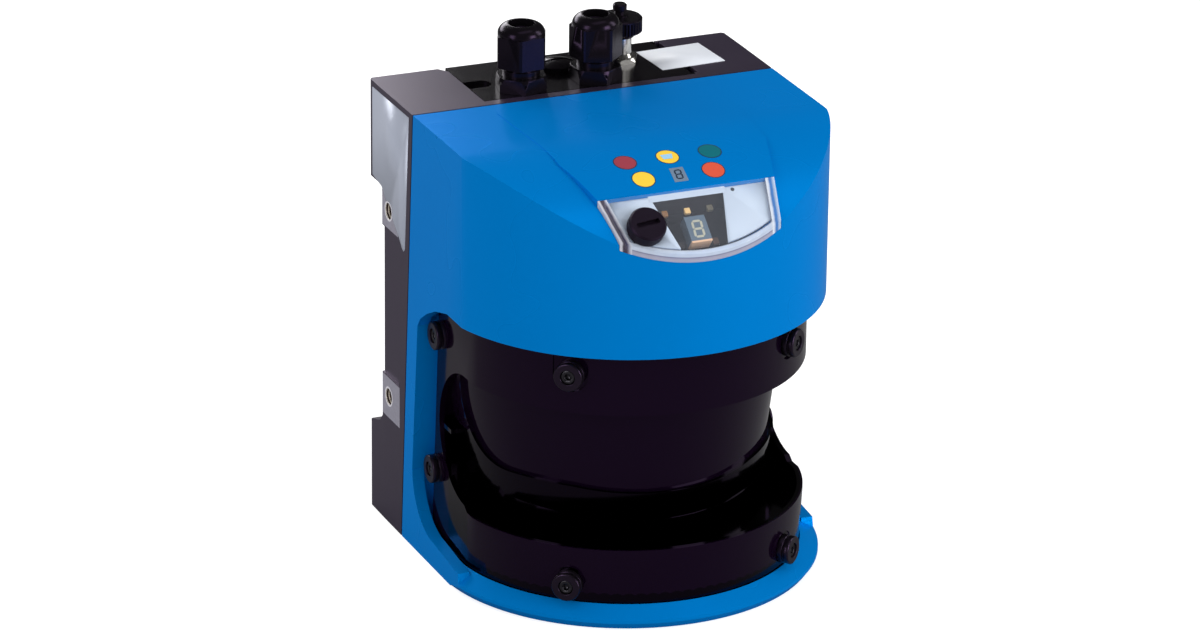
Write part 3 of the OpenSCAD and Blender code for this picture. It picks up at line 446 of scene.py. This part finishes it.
def housing_paint():
    """Fine-textured black enamel; fields round the side holes and the tapped holes are bare metal.

    The bare fields are given by depth and height. Near a hole's axis the metal carries the
    thread: rings one pitch apart along the hole, a sine of the place across, painted pale on the
    crests as painted light and dark in the grooves as painted shade. The hole's chamfer is painted
    near white as a painted highlight."""
    wish = bpy.context.scene.scanner_finish
    made = Finish("housing_paint")
    cloud = made.grain(0.03)
    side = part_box("rear_housing")[1].x
    at_side = made.x.without_sign() > side - PAD_SKIN
    upper, lower = [
        between(made.y, *depths) * between(made.z, *heights)
        for depths, heights in (UPPER_PAD, LOWER_PAD)
    ]
    first, second = [distance(made.y - HOLE_Y, made.z - height) for height in HOLE_HEIGHTS]
    away = first.maths("MINIMUM", first, second)
    thread = (THREAD_RADIUS > away) * (made.x.without_sign() > side - THREAD_DEPTH)
    # the hole's chamfer ring is painted near white as a painted highlight
    chamfer_highlight = between(away, *HOLE_CHAMFER) * at_side
    bare = ((upper + lower) * at_side + thread) > 0.5
    turns = made.x * (2 * math.pi / wish.thread_pitch)
    ring = turns.maths("SINE", turns)
    paint = cloud.mix(shade(wish.housing_black, 0.9), shade(wish.housing_black, 1.15))
    milled = tone(158, 158, 168)
    metal = made.grain(0.0015).mix(shade(milled, 0.8), shade(milled, 1.1))
    # thread crests painted pale as painted light, its grooves dark as painted shade
    thread_light_and_shade = ring.soft(-0.4, 0.6).mix(tone(74, 62, 52), tone(236, 226, 206))
    metal = chamfer_highlight.mix(thread.mix(metal, thread_light_and_shade), tone(226, 226, 230))
    made.set(Base_Color=bare.mix(paint, metal), Metallic=0.3 * bare)
    made.set(Roughness=0.26 + 0.08 * cloud + 0.1 * bare)
    made.set(Specular_IOR_Level=0.55, Specular_Tint=BLACK_TINT)
    return made.bump(made.grain(0.0007) * 0.02 + ring * thread, 0.0003).material


def optics_moulding():
    """Polished infrared-clear plastic, near black with a trace of purple; the trough is painted pure
    black as painted shade.

    The trough is what lies low down between the outer wall and the window's cone, whose radius
    grows evenly with the height."""
    wish = bpy.context.scene.scanner_finish
    made = Finish("optics_moulding")
    cloud = made.grain(0.04)
    inside = (TROUGH_RADIUS > distance(made.x, made.y)) * (TROUGH_TOP > made.z)
    cone = CONE_FOOT + CONE_WIDENING * made.z
    outside_cone = distance(made.x, made.y - CONE_Y) > cone
    trough = inside * (((TROUGH_FLOOR > made.z) + outside_cone) > 0.5)
    body = cloud.mix(shade(wish.optics_black, 0.9), shade(wish.optics_black, 1.1))
    # the trough's pure black is painted shade
    made.set(Base_Color=trough.mix(body, BLACK), Roughness=0.08 + 0.03 * cloud)
    made.set(Specular_IOR_Level=0.26, Specular_Tint=BLACK_TINT)
    return made.material


def black_plastic(name, roughness, level=0.45):
    """Moulded black plastic or rubber of a given gloss."""
    wish = bpy.context.scene.scanner_finish
    made = Finish(name)
    cloud = made.grain(0.006)
    made.set(Base_Color=cloud.mix(shade(wish.plastic_black, 0.85), shade(wish.plastic_black, 1.2)))
    made.set(Roughness=roughness + 0.06 * cloud)
    made.set(Specular_IOR_Level=level, Specular_Tint=BLACK_TINT)
    return made.bump(made.grain(0.0006), 0.000004).material


def bare_metal(name, colour, roughness, streak=0.0):
    """Turned or plated metal with fine streaks round its height."""
    made = Finish(name)
    lines = made.place.node("ShaderNodeMapping", Vector=made.place, Scale=(60, 60, 3000))
    squeezed = made.place.of(lines.outputs[0])
    noise = made.place.node("ShaderNodeTexNoise", Vector=squeezed, Scale=1.0)
    grain = made.place.of(noise.outputs[0])
    made.set(Base_Color=grain.mix(shade(colour, 0.92), shade(colour, 1.05)), Metallic=1.0)
    made.set(Roughness=roughness + streak * grain)
    return made.material


def plain_finish(name, colour, roughness=0.4, level=0.5, **more):
    """A plain even finish with a faint cloud, so that no face is dead flat."""
    made = Finish(name)
    cloud = made.grain(0.01)
    made.set(Base_Color=cloud.mix(shade(colour, 0.96), shade(colour, 1.04)), Roughness=roughness)
    made.set(Specular_IOR_Level=level, **more)
    return made.material


def clear_moulding():
    """Clear polycarbonate: hardly seen over the sheet; its thick border and rim are made nearly
    opaque and painted with streaks that stand for reflections.

    The border is what lies within a few millimetres of the plan's slanting sides, the rim what
    lies near the hood's radius. The painted reflections are ramps across the border and down the
    rim: a dark one between pale ones at the left, a blue one at the right."""
    made = Finish("clear_moulding")
    low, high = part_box("window_cover")
    reach = (high.y - made.y) / (high.y + WINDOW_FRONT)
    half = high.x - WINDOW_SLANT * reach
    from_side = half - made.x.without_sign()
    from_rim = -low.y - distance(made.x, made.y)
    border = 1.0 - from_side.soft(BORDER_WIDTH - BORDER_BLUR, BORDER_WIDTH + BORDER_BLUR)
    rim = 1.0 - from_rim.soft(*RIM_WIDTH)
    cloud = made.grain(0.004)
    depth = (from_side + 0.0006 * (cloud - 0.5)) / BORDER_WIDTH
    # painted reflections: ramps of colour across the border and down the rim
    ends = (made.x > 0.0).mix(depth.ramp(LEFT_REFLECTIONS), depth.ramp(RIGHT_REFLECTIONS))
    fall = (made.y - high.y) * math.sin(WINDOW_SLOPE) - (made.z - high.z) * math.cos(WINDOW_SLOPE)
    foot = (fall / RIM_HEIGHT).ramp(RIM_REFLECTIONS)
    reflection_opacity = border.maths("MAXIMUM", border, rim)
    made.set(Base_Color=border.mix(foot, ends), Alpha=0.05 + reflection_opacity * (0.6 + 0.2 * cloud))
    made.set(Roughness=0.05, Specular_IOR_Level=0.5)
    return made.material


def display_body():
    """Grey-blue display block, its lower side pale amber where the casting compound shows."""
    made = Finish("display_body")
    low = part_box("digit_display")[0]
    face = made.grain(0.01).mix(tone(84, 102, 120), tone(90, 108, 126))
    lower_side = down_window(made.y, made.z) > down_window(low.y, low.z) - BLOCK_FOOT
    made.set(Base_Color=lower_side.mix(face, tone(226, 184, 150)))
    made.set(Roughness=0.4, Specular_IOR_Level=0.2)
    return made.material


def lamp_lens():
    """Unlit lamps behind a dark sheet: the middle one of the rear row pale amber, the rest dim."""
    made = Finish("lamp_lens")
    low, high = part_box("status_leds")
    across = (made.x - low.x) / (high.x - low.x)
    rear = made.z > (low.z + high.z) / 2
    middle = between(across, *MIDDLE_LAMP, 0.01)
    right = across > MIDDLE_LAMP[1]
    outer_lamps = right.mix(tone(150, 108, 66), tone(112, 106, 88))
    rear_row = middle.mix(outer_lamps, tone(246, 206, 140))
    front_row = right.mix(tone(48, 40, 40), tone(92, 64, 48))
    made.set(Base_Color=rear.mix(front_row, rear_row), Roughness=0.5, Specular_IOR_Level=0.2)
    return made.material


# ---------- dressing the solids ----------


def dress(node, finish, edge=0.0, steps=2, angle=28):
    """A solid keeps its shape: its loose faces are joined and shaded smooth, its edges rounded."""
    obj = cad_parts[node]
    mesh = obj.data
    mesh.polygons.foreach_set("use_smooth", np.ones(len(mesh.polygons), bool))
    if obj.material_slots:
        for material_slot in obj.material_slots:
            material_slot.link = "OBJECT"
            material_slot.material = finish
    else:
        mesh.materials.append(finish)
    if "custom_normal" in mesh.attributes:
        mesh.attributes.remove(mesh.attributes["custom_normal"])
    weld = obj.modifiers.new("join", "WELD")
    weld.merge_threshold = 0.000002
    if edge:
        bevel = obj.modifiers.new("edges", "BEVEL")
        bevel.width = edge
        bevel.segments = steps
        bevel.limit_method = "ANGLE"
        bevel.angle_limit = math.radians(angle)
        bevel.harden_normals = True
        bevel.use_clamp_overlap = True


# ---------- surfaces ----------


def surface(name, points, finish, closed=False):
    """Grids of points as one smooth mesh: grid by rows by columns, or a single grid.

    Neighbouring rows and columns are joined by four-cornered faces; closed also joins each last
    column to the first."""
    grids = points.reshape(-1, *points.shape[-3:])
    count, rows, columns = grids.shape[:3]
    index = np.arange(count * rows * columns).reshape(count, rows, columns)
    right = np.roll(index, -1, axis=2) if closed else index[:, :, 1:]
    left = index if closed else index[:, :, :-1]
    quads = np.stack([left[:, :-1], right[:, :-1], right[:, 1:], left[:, 1:]], axis=-1)
    mesh = bpy.data.meshes.new(name)
    mesh.from_pydata(points.reshape(-1, 3).tolist(), [], quads.reshape(-1, 4).tolist())
    mesh.polygons.foreach_set("use_smooth", np.ones(len(mesh.polygons), bool))
    mesh.materials.append(finish)
    mesh.update()
    obj = bpy.data.objects.new(name, mesh)
    bpy.context.scene.collection.objects.link(obj)
    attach(obj, "housing")
    return obj


def down_window(y, z):
    """How far down the sloping window a place lies, from its upper edge; for numbers and wires."""
    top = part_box("window_cover")[1]
    return (top.y - y) * math.cos(WINDOW_SLOPE) + (top.z - z) * math.sin(WINDOW_SLOPE)


def on_window(across, down, out):
    """Points on the sloping window: across its width, down from its upper edge, out of its face.

    Down and out are turned by the slope into depth and height."""
    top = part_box("window_cover")[1]
    across, down, out = np.broadcast_arrays(across, down, out)
    y = top.y - down * math.cos(WINDOW_SLOPE) - out * math.sin(WINDOW_SLOPE)
    z = top.z - down * math.sin(WINDOW_SLOPE) + out * math.cos(WINDOW_SLOPE)
    return np.stack([across, y, z], axis=-1)


def eight(width, height, thick, slant):
    """Plan of a seven-segment eight: seven slim six-cornered bars, slanted sideways.

    A bar is four rows of two points: narrow at its ends, and full width half a thickness in."""
    half, up, gap = width / 2, height / 2, thick * 0.12
    ends = np.array([
        ((-half, up), (half, up)), ((-half, 0), (half, 0)), ((-half, -up), (half, -up)),
        ((-half, 0), (-half, up)), ((half, 0), (half, up)),
        ((-half, -up), (-half, 0)), ((half, -up), (half, 0)),
    ])
    start, end = ends[:, 0], ends[:, 1]
    along = (end - start) / np.linalg.norm(end - start, axis=1, keepdims=True)
    aside = np.stack([-along[:, 1], along[:, 0]], axis=-1) * thick / 2
    start, end = start + along * gap, end - along * gap
    middle = np.stack([start, start + along * thick / 2, end - along * thick / 2, end], axis=1)
    wide = np.array([0.02, 1, 1, 0.02])[:, None] * aside[:, None]
    bars = np.stack([middle + wide, middle - wide], axis=2)
    bars[..., 0] += slant * bars[..., 1]
    return bars


def screw_places():
    """Place and outward direction of each bushing: four round the front, four on the flat sides."""
    front, side = [], []
    for s in (-1, 1):
        out = (s * math.sin(FRONT_SCREW_TURN), -math.cos(FRONT_SCREW_TURN), 0)
        front += [((out[0] * COVER_RADIUS, out[1] * COVER_RADIUS, z), out) for z in FRONT_SCREW_Z]
        side += side_places(s, SIDE_SCREW_X, SIDE_SCREW_BACK)
    return front + side


def side_places(s, x, back):
    """Place and outward direction of the two screws or seats of one side, s being -1 or 1.

    Their depth follows the lean of the cover's back edge."""
    return [((s * x, back - COVER_LEAN * z, z), (s, 0, 0)) for z in SIDE_SCREW_Z]


def spun(profile, places, hexagon=0.0):
    """The profile turned about each place's outward axis: a grid of rows by turns for each place.

    A point is the place, plus its height along the axis, plus its radius round it. With a
    hexagon, the radii of the socket reach out to a hexagon of that half width: the half width
    over the cosine of the angle from the nearest flat's middle."""
    turn = np.linspace(0, 2 * np.pi, 48, endpoint=False)
    radius, height = np.array(profile).T
    reach = np.repeat(radius[:, None], len(turn), axis=1)
    if hexagon:
        flat = (turn + np.pi / 6) % (np.pi / 3) - np.pi / 6
        reach[radius <= SOCKET_RADIUS] *= hexagon / np.cos(flat)
    foot, out = [np.array(part, float)[:, None, None] for part in zip(*places)]
    up = np.array([0, 0, 1.0])
    aside = np.cross(up, out)
    ring = np.cos(turn)[:, None] * up + np.sin(turn)[:, None] * aside
    return foot + MM * (height[:, None, None] * out + reach[..., None] * ring)


def bonnet_height(y):
    """Height of the bonnet's top at a depth y.

    It is level behind the bend's start, then an arc of the bend's radius."""
    wish = bpy.context.scene.scanner_signs
    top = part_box("front_housing")[1].z
    ahead = np.clip(-wish.bend_start - y, 0, None)
    return top - wish.bend_radius + np.sqrt(wish.bend_radius**2 - ahead**2)


def printed(name, x, y, finish, lift=LIFT, closed=False):
    """A printed field on the bonnet: a plan grid lifted a hair above the bent top."""
    points = np.stack([x, y, bonnet_height(y) + lift], axis=-1)
    return surface(name, points, finish, closed)


def printed_disc(name, x, y, finish, inner=0.02, outer=1.0):
    """A round field: rings of growing radius round its centre, given in disc radii.

    The plan is squeezed by the bonnet's slope there, so that the disc stays round on it."""
    wish = bpy.context.scene.scanner_signs
    rings = np.linspace(inner, outer, 8)[:, None] * wish.disc_width / 2
    turn = np.linspace(0, 2 * np.pi, 64, endpoint=False)
    slope = math.sqrt(1 - ((-wish.bend_start - y) / wish.bend_radius) ** 2)
    return printed(
        name, x + rings * np.cos(turn), y + slope * rings * np.sin(turn), finish, closed=True
    )


def printed_patch(name, corners, row, finish, lift=LIFT):
    """A four-cornered field: points shared out evenly between its corners, about its row."""
    across, along = np.meshgrid(np.linspace(0, 1, 7), np.linspace(0, 1, 7))
    a, b, c, d = np.array(corners)
    front = a + (b - a) * across[..., None]
    rear = d + (c - d) * across[..., None]
    plan = front + (rear - front) * along[..., None]
    return printed(name, plan[..., 0], plan[..., 1] + row, finish, lift)


# ---------- operators ----------


class SCANNER_OT_castings(bpy.types.Operator):
    """Paint the two castings and the parts screwed into them"""

    bl_idname = "scanner.castings"
    bl_label = "Castings"

    def execute(self, context):
        edge = context.scene.scanner_finish.edge_round
        dress("front_housing", hood_paint(), edge, 3)
        dress("rear_housing", housing_paint(), 0.0006)
        dress("connection_module", black_plastic("module_gloss", 0.2, 0.06), 0.0005)
        dress("housing_gasket", black_plastic("gasket_rubber", 0.6))
        dress("module_screw", bare_metal("screw_steel", tone(150, 150, 155), 0.3), 0.0002)
        return {"FINISHED"}


class SCANNER_OT_connections(bpy.types.Operator):
    """Finish the glands, the blanking plug and the round socket on top"""

    bl_idname = "scanner.connections"
    bl_label = "Connections"

    def execute(self, context):
        gloss = black_plastic("gland_plastic", 0.2, 0.2)
        seal = black_plastic("gland_rubber", 0.5)
        for side in ("left", "right"):
            dress(f"gland_body_{side}", gloss, 0.0003)
            dress(f"gland_nut_{side}", gloss, 0.0006, 3)
            dress(f"gland_seal_{side}", seal)
        dress("blanking_plug", gloss, 0.0003)
        dress("signal_cap", gloss, 0.0002)
        dress("signal_socket", bare_metal("nickel", tone(206, 204, 198), 0.14, 0.1), 0.0002)
        return {"FINISHED"}


class SCANNER_OT_labels(bpy.types.Operator):
    """Finish the blank rating label and the blank check sticker"""

    bl_idname = "scanner.labels"
    bl_label = "Labels"

    def execute(self, context):
        wish = context.scene.scanner_finish
        film = plain_finish("label_film", wish.foil_silver, 0.35, 0.5, Metallic=0.2)
        dress("rating_label", film)
        dress("check_sticker", plain_finish("sticker_film", wish.foil_white, 0.5))
        return {"FINISHED"}


class SCANNER_OT_indicator(bpy.types.Operator):
    """Finish the indicator window, the sheet, the display and the lamps, and the service port"""

    bl_idname = "scanner.indicator"
    bl_label = "Indicator window"

    def execute(self, context):
        wish = context.scene.scanner_finish
        dress("window_cover", clear_moulding(), 0.0004)
        dress("indicator_panel", plain_finish("panel_sheet", wish.panel_white, 0.5))
        dress("display_board", plain_finish("display_board", tone(27, 20, 24), 0.5, 0.1))
        dress("digit_display", display_body(), 0.0002)
        dress("status_leds", lamp_lens(), 0.0002)
        web, down = np.meshgrid(np.linspace(-WEB_HALF, WEB_HALF, 5), np.linspace(*WEB_EDGES, 5))
        sheet = plain_finish("web_sheet", wish.panel_white, 0.5)
        surface("sheet_web", on_window(web, down, WEB_OUT), sheet)
        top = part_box("window_cover")[1]
        wall, fall = np.meshgrid(
            np.linspace(-CUT_OUT_HALF, CUT_OUT_HALF, 5), np.linspace(*WALL_EDGES, 5)
        )
        points = np.stack([wall, np.full_like(wall, top.y - WALL_BACK), top.z - fall], axis=-1)
        surface("cut_out_wall", points, plain_finish("cut_out_shade", tone(26, 20, 24), 0.7, 0.05))
        dress("service_port", black_plastic("port_plastic", 0.45, 0.3), 0.0002)
        dress("port_cap", black_plastic("cap_plastic", 0.5, 0.35), 0.0005, 3)
        return {"FINISHED"}


class SCANNER_OT_optics(bpy.types.Operator):
    """Finish the optics cover, its seal, bushings and screws"""

    bl_idname = "scanner.optics"
    bl_label = "Optics cover"

    def execute(self, context):
        dress("optics_cover", optics_moulding(), 0.0005, 3)
        dress("cover_seal", black_plastic("seal_rubber", 0.6))
        plastic = black_plastic("bushing_plastic", 0.28)
        turned = bare_metal("screw_black", tone(70, 68, 74), 0.3)
        places = screw_places()
        bushings = surface("bushings", spun(SPOOL, places), plastic, closed=True)
        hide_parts("cover_bushings")
        screws = surface("bushing_screws", spun(SCREW, places, SOCKET_HALF), turned, closed=True)
        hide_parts("cover_screws")
        seats = [p for s in (-1, 1) for p in side_places(s, SEAT_X, SIDE_SCREW_BACK - SEAT_AHEAD)]
        surface("side_faces", spun(SEAT_DISC, seats), optics_moulding(), closed=True)
        return {"FINISHED"}


class SCANNER_OT_inside(bpy.types.Operator):
    """Finish the scan head, the optics and the boards inside"""

    bl_idname = "scanner.inside"
    bl_label = "Inside"

    def execute(self, context):
        steel = bare_metal("spindle_steel", tone(196, 196, 200), 0.25, 0.1)
        dark = plain_finish("dark_moulding", tone(34, 34, 38), 0.5)
        board = plain_finish("board_laminate", tone(24, 84, 48), 0.4)
        brass = bare_metal("brass", tone(214, 178, 110), 0.25)
        glass = plain_finish("coated_glass", tone(200, 210, 226), 0.05, Alpha=0.5)
        mirror = bare_metal("mirror_coating", tone(236, 238, 242), 0.02)
        for node, finish in {
            "spindle_motor": steel, "spindle_shaft": steel, "encoder_disc": steel,
            "encoder_sensor": dark, "mirror_hub": dark, "scan_mirror": mirror,
            "lens_holder": dark, "receiver_lens": glass, "laser_module": brass,
            "receiver_board": board, "main_board": board, "board_standoffs": brass,
            "board_chips": dark, "module_connector": dark,
        }.items():
            dress(node, finish)
        return {"FINISHED"}


class SCANNER_OT_signs(bpy.types.Operator):
    """Print the colour discs and the digit field on the bonnet, and the display's segments"""

    bl_idname = "scanner.signs"
    bl_label = "Printed signs"

    def execute(self, context):
        wish = context.scene.scanner_signs
        rear, front = -wish.rear_row, -wish.front_row
        ink = {
            key: plain_finish(key, getattr(wish, key), 0.35, 0.3)
            for key in (
                "stop_red", "warn_yellow", "clear_green", "output_orange",
                "field_grey", "outline_dark", "segment_cream",
            )
        }
        for name, x, row, key in DISCS:
            y = -getattr(wish, row)
            printed_disc(f"disc_{name}", x, y, ink[key])
            printed_disc(f"outline_{name}", x, y, ink["outline_dark"], *OUTLINE)
        pale = plain_finish("window_sign_blue", tone(150, 196, 226), 0.35, 0.3)
        printed_patch("window_sign", WINDOW_SIGN, rear, pale, SIGN_LIFT)
        printed_patch("digit_field", DIGIT_FIELD, front, ink["field_grey"])
        bars = eight(*FIELD_DIGIT)
        y = front + bars[..., 1]
        printed("digit_bars", bars[..., 0], y, ink["outline_dark"], BARS_LIFT)
        low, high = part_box("digit_display")
        middle = down_window((low.y + high.y) / 2, (low.z + high.z) / 2)
        bars = eight(*DIGIT_SIZE)
        points = on_window(bars[..., 0], middle - bars[..., 1], DIGIT_OUT)
        surface("display_bars", points, ink["segment_cream"])
        turn = np.linspace(0, 2 * np.pi, 24, endpoint=False)
        ring = np.linspace(0.05, 1, 4)[:, None] * DOT_RADIUS
        across, down = DOT_PLACE
        points = on_window(across + ring * np.cos(turn), down + ring * np.sin(turn), DOT_OUT)
        surface("sheet_dot", points, plain_finish("dot_ink", tone(40, 44, 52), 0.4), closed=True)
        return {"FINISHED"}


class SCANNER_OT_studio(bpy.types.Operator):
    """Set up the camera, the lamps, the room light and the pale floor"""

    bl_idname = "scanner.studio"
    bl_label = "Studio"

    def execute(self, context):
        wish = context.scene.scanner_stage
        place_camera(wish)
        light_room(wish)
        lay_floor(wish)
        for lamp in LAMPS:
            softbox(*lamp)
        context.scene.view_settings.view_transform = "Standard"
        return {"FINISHED"}


def facing(right, up, back, place):
    """An object's matrix from where its right, its top and its back point, and its place."""
    matrix = np.eye(4)
    matrix[:3] = np.stack([right, up, back, place], axis=1)
    return Matrix(matrix.tolist())


def place_camera(wish):
    """A camera on the stage's bearing and height, rolled a little.

    It looks at a point over the object's middle, shifted right and up in the view."""
    a, e, r = [math.radians(v) for v in (wish.azimuth, wish.elevation, wish.roll)]
    back = np.array([math.sin(a) * math.cos(e), -math.cos(a) * math.cos(e), math.sin(e)])
    level = np.array([math.cos(a), math.sin(a), 0])
    above = np.cross(back, level)
    right = math.cos(r) * level + math.sin(r) * above
    up = -math.sin(r) * level + math.cos(r) * above
    aim = np.array([0, 0, wish.aim_height]) + wish.aim_right * right + wish.aim_up * up
    camera = bpy.data.objects.new("camera", bpy.data.cameras.new("camera"))
    camera.data.sensor_width = 36
    camera.data.lens = wish.lens
    camera.data.clip_start = 0.05
    camera.data.clip_end = 50
    camera.matrix_world = facing(right, up, back, aim + wish.distance * back)
    bpy.context.scene.collection.objects.link(camera)
    bpy.context.scene.camera = camera


def light_room(wish):
    """An even room: white to the camera and through clear parts, dimmer as light.

    In reflections it is dimmer still, so that the gloss shows the lamps."""
    world = bpy.data.worlds.new("room")
    bpy.context.scene.world = world
    world.use_nodes = True
    tree = world.node_tree
    background = tree.nodes["Background"]
    rays = Wire(tree).node("ShaderNodeLightPath")
    seen, through, glossy = [
        Wire(tree, rays.outputs[f"Is {kind} Ray"]) for kind in ("Camera", "Transmission", "Glossy")
    ]
    white = (seen + through) > 0.5
    dim = glossy * ROOM_IN_REFLECTIONS + (1.0 - glossy) * wish.room_light
    background.inputs["Color"].default_value = (1, 1, 1, 1)
    seen.feed(background.inputs["Strength"], white + (1.0 - white) * dim)


def lay_floor(wish):
    """A pale floor that looks white and keeps a faint shadow, darker in reflections."""
    half = wish.side / 2
    mesh = bpy.data.meshes.new("floor")
    corners = [(-half, -half, 0), (half, -half, 0), (half, half, 0), (-half, half, 0)]
    mesh.from_pydata(corners, [], [(0, 1, 2, 3)])
    floor = bpy.data.objects.new("floor", mesh)
    bpy.context.scene.collection.objects.link(floor)
    made = Finish("floor_white")
    rays = made.place.node("ShaderNodeLightPath")
    seen = made.place.of(rays.outputs["Is Camera Ray"])
    glossy = made.place.of(rays.outputs["Is Glossy Ray"])
    made.set(Base_Color=glossy.mix(FLOOR_GREY, FLOOR_IN_REFLECTIONS))
    made.set(Emission_Color=seen.mix(BLACK, FLOOR_GLOW), Emission_Strength=1.0)
    made.set(Roughness=1.0, Specular_IOR_Level=0.0)
    mesh.materials.append(made.material)


def softbox(name, place, aim, size, power):
    """A rectangular lamp at a place, turned to its aim."""
    lamp = bpy.data.lights.new(name, "AREA")
    lamp.shape = "RECTANGLE"
    lamp.size, lamp.size_y = size
    lamp.energy = power
    obj = bpy.data.objects.new(name, lamp)
    back = np.array(place, float) - np.array(aim, float)
    back /= np.linalg.norm(back)
    right = np.cross([0, 0, 1], back)
    right /= np.linalg.norm(right)
    obj.matrix_world = facing(right, np.cross(back, right), back, place)
    bpy.context.scene.collection.objects.link(obj)


class SCANNER_PT_panel(bpy.types.Panel):
    """Lists the scanner's steps in the order in which they are done, and the sizes and colours"""

    bl_idname = "SCANNER_PT_panel"
    bl_label = "Safety laser scanner"
    bl_space_type = "VIEW_3D"
    bl_region_type = "UI"
    bl_category = "Scanner"

    def draw(self, context):
        for step in STEPS:
            self.layout.operator(step.bl_idname)
        for name, group in GROUPS.items():
            box = self.layout.box()
            for key in group.__annotations__:
                box.prop(getattr(context.scene, name), key)


STEPS = (
    SCANNER_OT_castings, SCANNER_OT_connections, SCANNER_OT_labels, SCANNER_OT_indicator,
    SCANNER_OT_optics, SCANNER_OT_inside, SCANNER_OT_signs, SCANNER_OT_studio,
)
GROUPS = {
    "scanner_finish": ScannerFinish, "scanner_signs": ScannerSigns, "scanner_stage": ScannerStage,
}


def register():
    for cls in (*GROUPS.values(), *STEPS, SCANNER_PT_panel):
        bpy.utils.register_class(cls)
    for name, group in GROUPS.items():
        setattr(bpy.types.Scene, name, PointerProperty(type=group))


def unregister():
    for name in GROUPS:
        delattr(bpy.types.Scene, name)
    for cls in reversed((*GROUPS.values(), *STEPS, SCANNER_PT_panel)):
        bpy.utils.unregister_class(cls)


def main():
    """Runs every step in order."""
    register()
    for step in STEPS:
        group, name = step.bl_idname.split(".")
        getattr(getattr(bpy.ops, group), name)()


if __name__ == "__main__":
    main()
